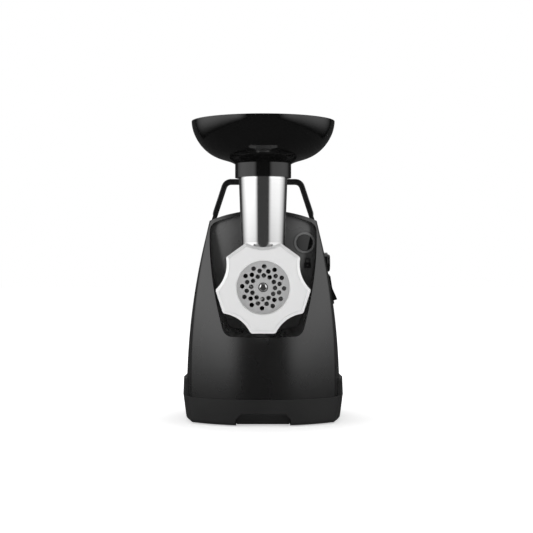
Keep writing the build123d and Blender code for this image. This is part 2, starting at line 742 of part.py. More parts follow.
# ---------------------------------------------------------------- bayonet socket
LUG_ANGLES = (90.0, 210.0, 330.0)
LUG_HALF = 11.0
SPIGOT_RADIUS = 36.4
LUG_RADIUS = 40.5
LUG_FRONT, LUG_BACK = -23.8, -18.8
COLLAR_RADIUS = 46.0
COLLAR_FRONT = -29.0


def sector(radius, middle, half, front, back, mode=Mode.ADD):
    """Wedge about the auger's axis between two depths."""
    first, last = radians(middle - half), radians(middle + half)
    with BuildSketch(upright(back)) as wedge:
        with BuildLine():
            Line(OUTPUT_AXIS, step_to(OUTPUT_AXIS, radius, first))
            ThreePointArc(
                step_to(OUTPUT_AXIS, radius, first),
                step_to(OUTPUT_AXIS, radius, radians(middle)),
                step_to(OUTPUT_AXIS, radius, last),
            )
            Line(step_to(OUTPUT_AXIS, radius, last), OUTPUT_AXIS)
        make_face()
    extrude(wedge.sketch, amount=back - front, mode=mode)


with BuildPart() as socket_collar:
    turn_profile(
        (SPIGOT_RADIUS + 0.5, COLLAR_FRONT),
        (COLLAR_RADIUS - 1.5, COLLAR_FRONT),
        (COLLAR_RADIUS, COLLAR_FRONT + 1.5),
        (COLLAR_RADIUS, BOX_FRONT - SEAT),
        (24.5, BOX_FRONT - SEAT),
        (24.5, BOX_FRONT - 7.0),
        (SPIGOT_RADIUS + 0.5, BOX_FRONT - 7.0),
        (SPIGOT_RADIUS + 0.5, LUG_BACK + CLEAR),
        (LUG_RADIUS + 0.5, LUG_BACK + CLEAR),
        (LUG_RADIUS + 0.5, LUG_FRONT - CLEAR),
        (SPIGOT_RADIUS + 0.5, LUG_FRONT - CLEAR),
    )
    for angle in LUG_ANGLES:
        entry = angle + LOCK_ANGLE
        sector(LUG_RADIUS + 0.8, entry, LUG_HALF + 1.5, COLLAR_FRONT - 1.0, LUG_FRONT, mode=Mode.SUBTRACT)
    bars([LATCH_AT], 3.0, LUG_BACK - 1.0, 0.0, mode=Mode.SUBTRACT)
socket_collar.part.label = "socket_collar"
export_step(socket_collar.part, "parts/socket_collar.step")

COUPLER_RADIUS = 17.0
with BuildPart() as shaft_seal:
    bars([OUTPUT_AXIS], 24.5 - SEAT, BOX_FRONT - 6.0, BOX_FRONT - SEAT, bore=COUPLER_RADIUS + CLEAR)
shaft_seal.part.label = "shaft_seal"
export_step(shaft_seal.part, "parts/shaft_seal.step")

# ---------------------------------------------------------------- gearbox
LAYER_A = (0.3, 9.7)  # front and back of each layer of gears
LAYER_B = (11.2, 18.8)
LAYER_C = (20.4, 27.0)
BOX_LOW = 40.0
PILLARS = ((-43.0, 48.0), (36.0, 48.0), (38.0, 138.0), (-33.0, 172.0), (14.0, 189.0))


def gearbox_plate(front, holes):
    """Side plate of the gearbox: a disc round the output axis on a rectangular foot."""
    with BuildSketch(upright(front + PLATE_GAUGE)) as outline:
        with Locations(OUTPUT_AXIS):
            Circle(45.0)
        with Locations((-4.0, (BOX_LOW + 150.0) / 2)):
            RectangleRounded(92.0, 150.0 - BOX_LOW, 6.0)
        for centre, radius in holes:
            with Locations(centre):
                Circle(radius, mode=Mode.SUBTRACT)
    extrude(outline.sketch, amount=PLATE_GAUGE)


with BuildPart() as gearbox_front_plate:
    gearbox_plate(
        BOX_FRONT,
        [(OUTPUT_AXIS, 12.0), (FIRST_AXIS, AXLE_RADIUS), (SECOND_AXIS, AXLE_RADIUS), (LATCH_AT, 3.5)],
    )
gearbox_front_plate.part.label = "gearbox_front_plate"
export_step(gearbox_front_plate.part, "parts/gearbox_front_plate.step")

with BuildPart() as gearbox_rear_plate:
    gearbox_plate(
        BOX_BACK - PLATE_GAUGE,
        [(OUTPUT_AXIS, 12.0), (FIRST_AXIS, AXLE_RADIUS), (SECOND_AXIS, AXLE_RADIUS), (MOTOR_AXIS, 6.0)],
    )
gearbox_rear_plate.part.label = "gearbox_rear_plate"
export_step(gearbox_rear_plate.part, "parts/gearbox_rear_plate.step")

with BuildPart() as gearbox_pillars:
    bars(PILLARS, 4.0, BOX_FRONT + PLATE_GAUGE, BOX_BACK - PLATE_GAUGE)
gearbox_pillars.part.label = "gearbox_pillars"
export_step(gearbox_pillars.part, "parts/gearbox_pillars.step")

with BuildPart() as gear_axles:
    bars([FIRST_AXIS, SECOND_AXIS], AXLE_RADIUS, BOX_FRONT, BOX_BACK)
gear_axles.part.label = "gear_axles"
export_step(gear_axles.part, "parts/gear_axles.step")

with BuildPart() as output_bushes:
    for front in (BOX_FRONT, BOX_BACK - PLATE_GAUGE):
        bars([OUTPUT_AXIS], 12.0, front, front + PLATE_GAUGE, bore=SHAFT_RADIUS + FIT)
output_bushes.part.label = "output_bushes"
export_step(output_bushes.part, "parts/output_bushes.step")

with BuildPart() as output_shaft:
    bars([OUTPUT_AXIS], SHAFT_RADIUS, BOX_FRONT - 1.0, BOX_BACK + 1.0)
    chamfer(output_shaft.edges().group_by(Axis.Y)[-1], 1.0)
output_shaft.part.label = "output_shaft"
export_step(output_shaft.part, "parts/output_shaft.step")

with BuildPart() as output_gear:
    gear(OUTPUT_AXIS, THIRD_TEETH, THIRD_MODULE, SECOND_AXIS, *LAYER_A, bore=SHAFT_RADIUS, gap=True)
output_gear.part.label = "output_gear"
export_step(output_gear.part, "parts/output_gear.step")

HEX_RADIUS = 11.4
with BuildPart() as drive_coupler:
    with BuildSketch(upright(BOX_FRONT - 1.0)):
        with Locations(OUTPUT_AXIS):
            Circle(COUPLER_RADIUS)
    extrude(amount=14.0)
    with BuildSketch(upright(BOX_FRONT - 5.0)):
        with Locations(OUTPUT_AXIS):
            RegularPolygon(HEX_RADIUS + SEAT, 6)
    extrude(amount=12.0, mode=Mode.SUBTRACT)
drive_coupler.part.label = "drive_coupler"
export_step(drive_coupler.part, "parts/drive_coupler.step")

with BuildPart() as third_pinion:
    gear(SECOND_AXIS, PINION_TEETH, THIRD_MODULE, OUTPUT_AXIS, LAYER_A[0], LAYER_B[0], bore=AXLE_BORE)
third_pinion.part.label = "third_pinion"
export_step(third_pinion.part, "parts/third_pinion.step")

with BuildPart() as second_gear:
    gear(SECOND_AXIS, SECOND_TEETH, SECOND_MODULE, FIRST_AXIS, *LAYER_B, bore=AXLE_BORE, gap=True)
second_gear.part.label = "second_gear"
export_step(second_gear.part, "parts/second_gear.step")

with BuildPart() as second_pinion:
    gear(FIRST_AXIS, PINION_TEETH, SECOND_MODULE, SECOND_AXIS, LAYER_B[0], LAYER_C[0], bore=AXLE_BORE)
second_pinion.part.label = "second_pinion"
export_step(second_pinion.part, "parts/second_pinion.step")

with BuildPart() as first_gear:
    gear(FIRST_AXIS, FIRST_TEETH, FIRST_MODULE, MOTOR_AXIS, *LAYER_C, bore=AXLE_BORE, gap=True)
first_gear.part.label = "first_gear"
export_step(first_gear.part, "parts/first_gear.step")

# ---------------------------------------------------------------- motor
MOTOR_SHAFT_RADIUS = 4.0
MOTOR_BACK = 120.0
STATOR = (54.0, 90.0)
STATOR_RADIUS = 37.0
STATOR_BORE = 20.5
BRUSH_DEPTH = 103.0
BOLT_CENTRES = [step_to(MOTOR_AXIS, 34.3, radians(angle)) for angle in (45.0, 225.0)]


def ring_sector(outer, inner, middle, half, front, back, mode=Mode.ADD):
    """Part of a ring about the motor's axis, between two depths."""
    angles = [radians(middle + turn) for turn in (-half, 0.0, half)]
    outside = [step_to(MOTOR_AXIS, outer, angle) for angle in angles]
    inside = [step_to(MOTOR_AXIS, inner, angle) for angle in angles]
    with BuildSketch(upright(back)) as piece:
        with BuildLine():
            ThreePointArc(*outside)
            Line(outside[-1], inside[-1])
            ThreePointArc(*reversed(inside))
            Line(inside[0], outside[0])
        make_face()
    extrude(piece.sketch, amount=back - front, mode=mode)


with BuildPart() as motor_shaft:
    bars([MOTOR_AXIS], MOTOR_SHAFT_RADIUS, LAYER_C[1], MOTOR_BACK)
    gear(MOTOR_AXIS, PINION_TEETH, FIRST_MODULE, FIRST_AXIS, *LAYER_C)
motor_shaft.part.label = "motor_shaft"
export_step(motor_shaft.part, "parts/motor_shaft.step")

with BuildPart() as armature_core:
    bars([MOTOR_AXIS], STATOR_BORE - 0.5, *STATOR, bore=MOTOR_SHAFT_RADIUS)
    with BuildSketch(upright(STATOR[1])):
        with Locations(MOTOR_AXIS):
            with PolarLocations(STATOR_BORE - 3.5, 12):
                Rectangle(6.5, 2.4)
    extrude(amount=STATOR[1] - STATOR[0], mode=Mode.SUBTRACT)
armature_core.part.label = "armature_core"
export_step(armature_core.part, "parts/armature_core.step")

with BuildPart() as armature_windings:
    bars([MOTOR_AXIS], 16.0, STATOR[0] - 6.0, STATOR[0], bore=MOTOR_SHAFT_RADIUS)
    fillet(armature_windings.edges().group_by(Axis.Y)[0].sort_by(SortBy.LENGTH)[-1], 3.0)
    bars([MOTOR_AXIS], 16.0, STATOR[1], STATOR[1] + 6.0, bore=MOTOR_SHAFT_RADIUS)
    fillet(armature_windings.edges().group_by(Axis.Y)[-1].sort_by(SortBy.LENGTH)[-1], 3.0)
armature_windings.part.label = "armature_windings"
export_step(armature_windings.part, "parts/armature_windings.step")

with BuildPart() as commutator:
    bars([MOTOR_AXIS], 11.0, STATOR[1] + 7.0, STATOR[1] + 19.0, bore=MOTOR_SHAFT_RADIUS)
    with BuildSketch(upright(STATOR[1] + 19.0)):
        with Locations(MOTOR_AXIS):
            with PolarLocations(11.0, 24):
                Rectangle(1.6, 0.4)
    extrude(amount=12.0, mode=Mode.SUBTRACT)
commutator.part.label = "commutator"
export_step(commutator.part, "parts/commutator.step")

with BuildPart() as cooling_fan:
    bars([MOTOR_AXIS], 28.0, 45.0, 46.2, bore=MOTOR_SHAFT_RADIUS)
    bars([MOTOR_AXIS], 8.0, 42.0, 46.0, bore=MOTOR_SHAFT_RADIUS)
    with BuildSketch(upright(45.2)):
        with Locations(MOTOR_AXIS):
            with PolarLocations(19.0, 11):
                Rectangle(17.0, 1.4, rotation=25.0)
    extrude(amount=3.4)
cooling_fan.part.label = "cooling_fan"
export_step(cooling_fan.part, "parts/cooling_fan.step")

with BuildPart() as stator_core:
    bars([MOTOR_AXIS], STATOR_RADIUS, *STATOR, bore=31.0)
    for pole in (0.0, 180.0):
        ring_sector(32.0, STATOR_BORE, pole, 48.0, *STATOR)
    bars(BOLT_CENTRES, 2.3, *STATOR, mode=Mode.SUBTRACT)
stator_core.part.label = "stator_core"
export_step(stator_core.part, "parts/stator_core.step")

with BuildPart() as field_coils:
    for pole in (0.0, 180.0):
        for side in (-68.0, 68.0):
            ring_sector(30.6, 21.2, pole + side, 18.0, STATOR[0] - 6.0, STATOR[1] + 6.0)
        for front in (STATOR[0] - 6.0, STATOR[1] + 0.4):
            ring_sector(30.6, 21.2, pole, 68.0, front, front + 5.6)
field_coils.part.label = "field_coils"
export_step(field_coils.part, "parts/field_coils.step")


def motor_bracket(front, back, radius, seat_radius):
    """End bracket of the motor: a drilled disc with a bearing seat."""
    bars([MOTOR_AXIS], radius, front, back, bore=seat_radius)
    with BuildSketch(upright(back)) as windows:
        with Locations(MOTOR_AXIS):
            with PolarLocations(21.5, 4, start_angle=0.0):
                RectangleRounded(9.0, 20.0, 3.0)
    extrude(windows.sketch, amount=back - front, mode=Mode.SUBTRACT)
    bars(BOLT_CENTRES, 2.3, front, back, mode=Mode.SUBTRACT)


BEARING_RADIUS = 9.5
with BuildPart() as motor_front_bracket:
    motor_bracket(BOX_BACK + 2.0, BOX_BACK + 7.0, STATOR_RADIUS, BEARING_RADIUS)
motor_front_bracket.part.label = "motor_front_bracket"
export_step(motor_front_bracket.part, "parts/motor_front_bracket.step")

with BuildPart() as motor_rear_bracket:
    motor_bracket(112.0, 117.0, STATOR_RADIUS, BEARING_RADIUS)
motor_rear_bracket.part.label = "motor_rear_bracket"
export_step(motor_rear_bracket.part, "parts/motor_rear_bracket.step")

with BuildPart() as motor_bearings:
    for front in (BOX_BACK + 2.0, 112.0):
        bars([MOTOR_AXIS], BEARING_RADIUS, front, front + 5.0, bore=MOTOR_SHAFT_RADIUS + FIT)
motor_bearings.part.label = "motor_bearings"
export_step(motor_bearings.part, "parts/motor_bearings.step")

with BuildPart() as motor_bolts:
    bars(BOLT_CENTRES, 2.1, BOX_BACK + 0.5, 120.0)
    bars(BOLT_CENTRES, 3.6, 117.2, 120.0)
motor_bolts.part.label = "motor_bolts"
export_step(motor_bolts.part, "parts/motor_bolts.step")

with BuildPart() as brush_holders:
    for side in (-1.0, 1.0):
        with Locations((MOTOR_AXIS[0] + side * 22.0, BRUSH_DEPTH, MOTOR_AXIS[1])):
            Box(18.0, 9.0, 11.0)
            Box(18.0, 6.4, 8.4, mode=Mode.SUBTRACT)
brush_holders.part.label = "brush_holders"
export_step(brush_holders.part, "parts/brush_holders.step")

with BuildPart() as carbon_brushes:
    for side in (-1.0, 1.0):
        with Locations((MOTOR_AXIS[0] + side * 20.2, BRUSH_DEPTH, MOTOR_AXIS[1])):
            Box(18.0, 6.2, 8.2)
    bars([MOTOR_AXIS], 11.2, 95.0, 115.0, mode=Mode.SUBTRACT)
carbon_brushes.part.label = "carbon_brushes"
export_step(carbon_brushes.part, "parts/carbon_brushes.step")

with BuildPart() as motor_cradle:
    for depth in (60.0, 84.0):
        with Locations((0, depth, PLATE_HIGH + 0.2)):
            Box(56.0, 8.0, MOTOR_AXIS[1] - 20.0 - PLATE_HIGH, align=(Align.CENTER, Align.CENTER, Align.MIN))
    with Locations((0, 72.0, PLATE_HIGH + 0.2)):
        Box(56.0, 32.0, 4.0, align=(Align.CENTER, Align.CENTER, Align.MIN))
    bars([MOTOR_AXIS], STATOR_RADIUS + 0.1, 50.0, 95.0, mode=Mode.SUBTRACT)
motor_cradle.part.label = "motor_cradle"
export_step(motor_cradle.part, "parts/motor_cradle.step")

# ---------------------------------------------------------------- electrics
with BuildPart() as control_board:
    with Locations((-61.0, 74.0, 138.0)):
        Box(1.6, 50.0, 44.0)
control_board.part.label = "control_board"
export_step(control_board.part, "parts/control_board.step")

with BuildPart() as board_parts:
    with Locations((-54.9, 62.0, 146.0)):
        Box(10.6, 14.0, 18.0)
    with Locations((-54.9, 84.0, 126.0)):
        Box(10.6, 16.0, 12.0)
    with Locations(Plane(origin=(-60.1, 84.0, 148.0), z_dir=(1, 0, 0))):
        Cylinder(6.0, 16.0, align=(Align.CENTER, Align.CENTER, Align.MIN))
board_parts.part.label = "board_parts"
export_step(board_parts.part, "parts/board_parts.step")

with BuildPart() as cable_inlet:
    bars([CABLE_AT], 7.0, 112.0, BASE_BACK - 1.0, bore=3.6)
    bars([CABLE_AT], 9.5, 110.0, 113.0, bore=3.6)
cable_inlet.part.label = "cable_inlet"
export_step(cable_inlet.part, "parts/cable_inlet.step")

# ---------------------------------------------------------------- grinding head
PLATE_FRONT = RING_FRONT + RING_LIP + 0.1
PLATE_REAR = PLATE_FRONT + PLATE_THICK
BARREL_FRONT = PLATE_FRONT + 2.0
MOUTH_BACK = -86.4
THREAD_RADIUS = 35.3
BORE_BACK = -31.2
CAVITY_FRONT = -26.0
JOURNAL_BACK = -21.0
JOURNAL_RADIUS = 11.9
TUBE_RADIUS = 24.0
TUBE_STRAIGHT = 48.0  # height of the straight part of the feed tube
RIM_HEIGHT = 15.5
RELIEF_RADIUS = 22.3  # wider foot of the feed bore, where the meat meets the auger
RELIEF_HEIGHT = 28.0

with BuildPart() as grinder_head:
    turn_profile(
        (PLATE_RADIUS + CLEAR, BARREL_FRONT),
        (THREAD_RADIUS, BARREL_FRONT),
        (THREAD_RADIUS, -79.0),
        (31.5, -75.0),
        (31.0, -36.5),
        (43.5, -33.5),
        (43.5, COLLAR_FRONT - 0.5),
        (SPIGOT_RADIUS, COLLAR_FRONT - 0.5),
        (SPIGOT_RADIUS, -14.0),
        (32.5, -14.0),
        (32.5, CAVITY_FRONT),
        (16.5, CAVITY_FRONT),
        (16.5, JOURNAL_BACK),
        (JOURNAL_RADIUS + 0.4, JOURNAL_BACK),
        (JOURNAL_RADIUS + 0.4, BORE_BACK),
        (BARREL_BORE, BORE_BACK),
        (BARREL_BORE, MOUTH_BACK),
        (PLATE_RADIUS + CLEAR, MOUTH_BACK),
    )
    with BuildSketch(Plane.XY.offset(AUGER_Z)):
        with Locations((0, FEED_Y)):
            Circle(TUBE_RADIUS)
    extrude(amount=TUBE_STRAIGHT)
    with BuildSketch(Plane.XY.offset(AUGER_Z + TUBE_STRAIGHT)):
        with Locations((0, FEED_Y)):
            Circle(TUBE_RADIUS)
    with BuildSketch(Plane.XY.offset(FEED_TOP - RIM_HEIGHT)):
        with Locations((0, FEED_Y)):
            Circle(FEED_TOP_RADIUS)
    loft(ruled=True)
    with BuildSketch(Plane.XY.offset(FEED_TOP - RIM_HEIGHT)):
        with Locations((0, FEED_Y)):
            Circle(FEED_TOP_RADIUS)
    extrude(amount=RIM_HEIGHT)
    with BuildSketch(Plane.XY.offset(AUGER_Z)):
        with Locations((0, FEED_Y)):
            Circle(FEED_BORE)
    extrude(amount=FEED_TOP - AUGER_Z + 1.0, mode=Mode.SUBTRACT)
    with BuildSketch(Plane.XY.offset(AUGER_Z)):
        with Locations((0, FEED_Y)):
            Circle(RELIEF_RADIUS)
    extrude(amount=RELIEF_HEIGHT, mode=Mode.SUBTRACT)
    bars([OUTPUT_AXIS], BARREL_BORE, MOUTH_BACK, BORE_BACK, mode=Mode.SUBTRACT)
    for angle in LUG_ANGLES:
        sector(LUG_RADIUS, angle, LUG_HALF, LUG_FRONT, LUG_BACK)
    bars([OUTPUT_AXIS], 32.5, CAVITY_FRONT, -14.0, mode=Mode.SUBTRACT)
    bars([OUTPUT_AXIS], 16.5, CAVITY_FRONT - 0.5, JOURNAL_BACK)
    bars([OUTPUT_AXIS], JOURNAL_RADIUS + 0.4, BORE_BACK - 1.0, JOURNAL_BACK, mode=Mode.SUBTRACT)
    with Locations((0, (BARREL_FRONT + PLATE_REAR) / 2 + 0.5, AUGER_Z - PLATE_RADIUS - 0.2)):
        Box(3.0, PLATE_REAR - BARREL_FRONT - 1.0, 4.0)
grinder_head.part.label = "grinder_head"
export_step(grinder_head.part, "parts/grinder_head.step")

with BuildPart() as grinding_plate:
    with BuildSketch(upright(PLATE_REAR)):
        with Locations(OUTPUT_AXIS):
            Circle(PLATE_RADIUS)
            Circle(5.1, mode=Mode.SUBTRACT)
            for radius, turn in PLATE_ROWS:
                with PolarLocations(radius, HOLES_PER_ROW, start_angle=turn + PLATE_TURN):
                    Circle(PLATE_HOLE, mode=Mode.SUBTRACT)
        with Locations((0, AUGER_Z - PLATE_RADIUS)):
            Rectangle(3.8, 5.6, mode=Mode.SUBTRACT)
    extrude(amount=PLATE_THICK)
grinding_plate.part.label = "grinding_plate"
export_step(grinding_plate.part, "parts/grinding_plate.step")

def ring_outline(depth, inset, corner):
    """Outline of the screw ring: five flat lobes with hollows between them."""
    lobe_turn = degrees(atan2(LOBE_HALF, sqrt(LOBE_RADIUS**2 - LOBE_HALF**2)))
    with BuildSketch(upright(depth)) as outline:
        with BuildLine():
            for lobe in range(LOBES):
                middle = -90.0 + lobe * 360.0 / LOBES
                first = step_to(OUTPUT_AXIS, LOBE_RADIUS, radians(middle - lobe_turn))
                last = step_to(OUTPUT_AXIS, LOBE_RADIUS, radians(middle + lobe_turn))
                scoop = step_to(OUTPUT_AXIS, SCALLOP_RADIUS, radians(middle + 180.0 / LOBES))
                following = step_to(OUTPUT_AXIS, LOBE_RADIUS, radians(middle + 360.0 / LOBES - lobe_turn))
                Line(first, last)
                ThreePointArc(last, scoop, following)
        make_face()
        if inset:
            offset(amount=-inset, kind=Kind.INTERSECTION, mode=Mode.REPLACE)
        if corner:
            fillet(outline.vertices(), corner)
    return outline.sketch


with BuildPart() as screw_ring:
    extrude(ring_outline(RING_BACK, 0.0, LOBE_CORNER), amount=RING_BACK - RING_FRONT)
    chamfer(screw_ring.edges().group_by(Axis.Y)[0], RING_BEVEL)
    chamfer(screw_ring.edges().group_by(Axis.Y)[-1], 1.0)
    bars([OUTPUT_AXIS], THREAD_RADIUS + 0.3, RING_FRONT + RING_LIP, RING_BACK, mode=Mode.SUBTRACT)
    bars([OUTPUT_AXIS], OUTLET_RADIUS, RING_FRONT - 1.0, RING_BACK, mode=Mode.SUBTRACT)
    turn_profile(
        (0, RING_FRONT - 1.0),
        (OUTLET_RADIUS + 1.4, RING_FRONT - 1.0),
        (OUTLET_RADIUS, RING_FRONT + 2.6),
        (0, RING_FRONT + 2.6),
        mode=Mode.SUBTRACT,
    )
    with BuildPart(mode=Mode.SUBTRACT):
        groove_depth = RING_FRONT + RING_GROOVE
        extrude(ring_outline(groove_depth, RING_BEVEL + 0.1, 0.0), amount=RING_GROOVE + 1.0)
        extrude(
            ring_outline(groove_depth, RING_BEVEL + 0.1 + RING_GROOVE, 0.0),
            amount=RING_GROOVE + 1.0,
            mode=Mode.SUBTRACT,
        )
screw_ring.part.label = "screw_ring"
export_step(screw_ring.part, "parts/screw_ring.step")

KNIFE_FRONT = PLATE_REAR + 0.15
KNIFE_BACK = KNIFE_FRONT + 6.5
SQUARE = 9.0
with BuildPart() as cutting_knife:
    with BuildSketch(upright(KNIFE_BACK)):
        with Locations(OUTPUT_AXIS):
            Circle(11.0)
            with PolarLocations(16.5, 4, start_angle=20.0):
                Rectangle(21.0, 8.0)
            Rectangle(SQUARE + 0.2, SQUARE + 0.2, mode=Mode.SUBTRACT)
    extrude(amount=KNIFE_BACK - KNIFE_FRONT)
cutting_knife.part.label = "cutting_knife"
export_step(cutting_knife.part, "parts/cutting_knife.step")

FLIGHT_FRONT = -86.0
FLIGHT_BACK = -36.5
FLIGHT_HALF_ANGLE = radians(43.0)
FLIGHT_TURNS = 2
CORE_RADIUS = 10.5
TANG_FRONT = -20.5
PIN_FRONT = -103.8
PIN_RADIUS = 4.5
PIN_DOME = 2.6
SHOULDER_RADIUS = 20.0
SHOULDER_BACK = -34.0
with BuildSketch(upright(FLIGHT_BACK)) as flight_section:
    with Locations(OUTPUT_AXIS):
        Circle(CORE_RADIUS)
    with BuildLine():
        flight_low = step_to(OUTPUT_AXIS, AUGER_RADIUS, -FLIGHT_HALF_ANGLE)
        flight_high = step_to(OUTPUT_AXIS, AUGER_RADIUS, FLIGHT_HALF_ANGLE)
        Line(OUTPUT_AXIS, flight_low)
        ThreePointArc(flight_low, step_to(OUTPUT_AXIS, AUGER_RADIUS, 0.0), flight_high)
        Line(flight_high, OUTPUT_AXIS)
    make_face()
flight = Solid.extrude_linear_with_rotation(
    flight_section.sketch.face(),
    (0, FLIGHT_BACK, AUGER_Z),
    (0, FLIGHT_FRONT - FLIGHT_BACK, 0),
    360.0 * FLIGHT_TURNS,
)

with BuildPart() as auger:
    turn_profile(
        (0, PIN_FRONT),
        (PIN_RADIUS, PIN_FRONT),
        (PIN_RADIUS, KNIFE_BACK + 1.0),
        (0, KNIFE_BACK + 1.0),
    )
    fillet(auger.edges().group_by(Axis.Y)[0], PIN_DOME)
    turn_profile((0, KNIFE_BACK + 0.2), (12.0, KNIFE_BACK + 0.2), (12.0, FLIGHT_FRONT), (0, FLIGHT_FRONT))
    turn_profile(
        (0, FLIGHT_BACK),
        (SHOULDER_RADIUS, FLIGHT_BACK),
        (SHOULDER_RADIUS, SHOULDER_BACK),
        (JOURNAL_RADIUS, SHOULDER_BACK),
        (JOURNAL_RADIUS, TANG_FRONT),
        (0, TANG_FRONT),
    )
    add(flight)
    with BuildSketch(upright(KNIFE_BACK + 0.2)):
        with Locations(OUTPUT_AXIS):
            Rectangle(SQUARE, SQUARE)
    extrude(amount=KNIFE_BACK - KNIFE_FRONT)
auger.part.label = "auger"
export_step(auger.part, "parts/auger.step")

with BuildPart() as auger_washer:
    bars([OUTPUT_AXIS], SHOULDER_RADIUS, SHOULDER_BACK + SEAT, BORE_BACK - CLEAR, bore=JOURNAL_RADIUS + SEAT)
auger_washer.part.label = "auger_washer"
export_step(auger_washer.part, "parts/auger_washer.step")

with BuildPart() as auger_coupling:
    with BuildSketch(upright(-10.4)):
        with Locations(OUTPUT_AXIS):
            RegularPolygon(HEX_RADIUS, 6)
    extrude(amount=-10.4 - TANG_FRONT)
auger_coupling.part.label = "auger_coupling"
export_step(auger_coupling.part, "parts/auger_coupling.step")

# ---------------------------------------------------------------- hopper tray
NECK_LOW = 270.7
NECK_WALL_RADIUS = FEED_TOP_RADIUS + CLEAR


def bowl_outline(half_width, height, shrink):
    """Half a circle in front of the feed tube and half an ellipse behind it."""
    narrowest, widest = TRAY_PROFILE[0][0], TRAY_PROFILE[-1][0]
    reach = 1.0 + (TRAY_BACK / widest - 1.0) * (half_width - narrowest) / (widest - narrowest)
    with BuildSketch(Plane.XY.offset(height)) as section:
        with BuildLine():
            ThreePointArc(
                (-half_width + shrink, FEED_Y),
                (0, FEED_Y - half_width + shrink),
                (half_width - shrink, FEED_Y),
            )
            EllipticalCenterArc(
                (0, FEED_Y), half_width - shrink, half_width * reach - shrink, start_angle=0, arc_size=180
            )
        make_face()
    return section.sketch


def bowl_part(shrink, lift):
    with BuildPart() as bowl:
        for half_width, height in TRAY_PROFILE:
            add(bowl_outline(half_width, height + lift, shrink))
        loft()
    return bowl.part


with BuildPart() as hopper_tray:
    add(bowl_part(0.0, 0.0))
    add(bowl_part(TRAY_WALL, 0.8), mode=Mode.SUBTRACT)
    with BuildSketch(Plane.XY.offset(NECK_LOW)):
        with Locations((0, FEED_Y)):
            Circle(30.6)
    extrude(amount=TRAY_PROFILE[0][1] - NECK_LOW + 0.8)
    with BuildSketch(Plane.XY.offset(NECK_LOW)):
        with Locations((0, FEED_Y)):
            Circle(NECK_WALL_RADIUS)
    extrude(amount=FEED_TOP + CLEAR - NECK_LOW, mode=Mode.SUBTRACT)
    with BuildSketch(Plane.XY.offset(NECK_LOW)):
        with Locations((0, FEED_Y)):
            Circle(FEED_BORE + 0.5)
    extrude(amount=40.0, mode=Mode.SUBTRACT)
hopper_tray.part.label = "hopper_tray"
export_step(hopper_tray.part, "parts/hopper_tray.step")
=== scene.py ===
import json
import math

import bpy
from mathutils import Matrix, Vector


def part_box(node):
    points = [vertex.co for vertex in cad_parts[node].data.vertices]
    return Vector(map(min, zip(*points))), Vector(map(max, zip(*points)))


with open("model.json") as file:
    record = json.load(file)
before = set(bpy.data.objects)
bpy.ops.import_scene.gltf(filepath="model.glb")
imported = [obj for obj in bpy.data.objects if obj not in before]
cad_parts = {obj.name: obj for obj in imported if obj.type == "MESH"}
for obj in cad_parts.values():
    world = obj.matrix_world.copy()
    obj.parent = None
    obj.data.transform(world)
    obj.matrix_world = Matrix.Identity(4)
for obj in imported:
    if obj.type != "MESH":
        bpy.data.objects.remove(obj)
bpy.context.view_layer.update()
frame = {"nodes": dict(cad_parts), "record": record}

# Looks of the electric meat grinder: finishes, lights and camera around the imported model.
# Metres, in the frame of the CAD: +Z up, the meat comes out towards -Y.

MM = 0.001
AUGER_CENTRE = (0.0, 0.0, 152 * MM)  # a point on the auger's axis, which runs along Y
ACROSS_AUGER = (1, 0, 1)  # keeps the two directions square to that axis

# The hollow in the front shell round the grinding head, whose walls are painted a lighter black as a
# painted reflection
RECESS_HALF = 62.5 * MM
RECESS_LOW = 95 * MM
RECESS_HIGH = 232 * MM
RECESS_SKIP = 12 * MM  # depth of the outer lip, which keeps the shell's own finish
RECESS_FACING = -0.02  # its walls face forward by at least this much
# face_plate and release_bezel get lighter blacks than the housing as painted reflections; lock_mark gets
# its own matt mark colour
NODE_FINISHES_AND_PAINTED_REFLECTIONS = {"release_bezel": "bezel_painted_reflection", "lock_mark": "mark_grey", "face_plate": "recess_painted_reflection"}

# Floor and backdrop
STAGE_REACH = 9.0
BACKDROP_STEPS = 48
BACKDROP_LOW = -0.02
BACKDROP_HIGH = 8.0
FADE_START = 0.10  # distance from the object's middle where the floor starts to fade into white
FADE_END = 0.30
CORNER_SIGNS = ((-1, -1), (1, -1), (1, 1), (-1, 1))

# Side lights, which are alike but for their strength
SIDE_REACH = 0.90
SIDE_ALONG = -0.62
SIDE_HEIGHT = 0.62
SIDE_SIZE = (3.0, 1.5)
SIDE_BORDERS = (1.15, 0.5)
LEFT_RADIANCE = 1.6
RIGHT_RADIANCE = 1.35

nodes = frame["nodes"]


# ---------------------------------------------------------------- finishes
RANGE_SOCKETS = ("From Min", "From Max", "To Min", "To Max")


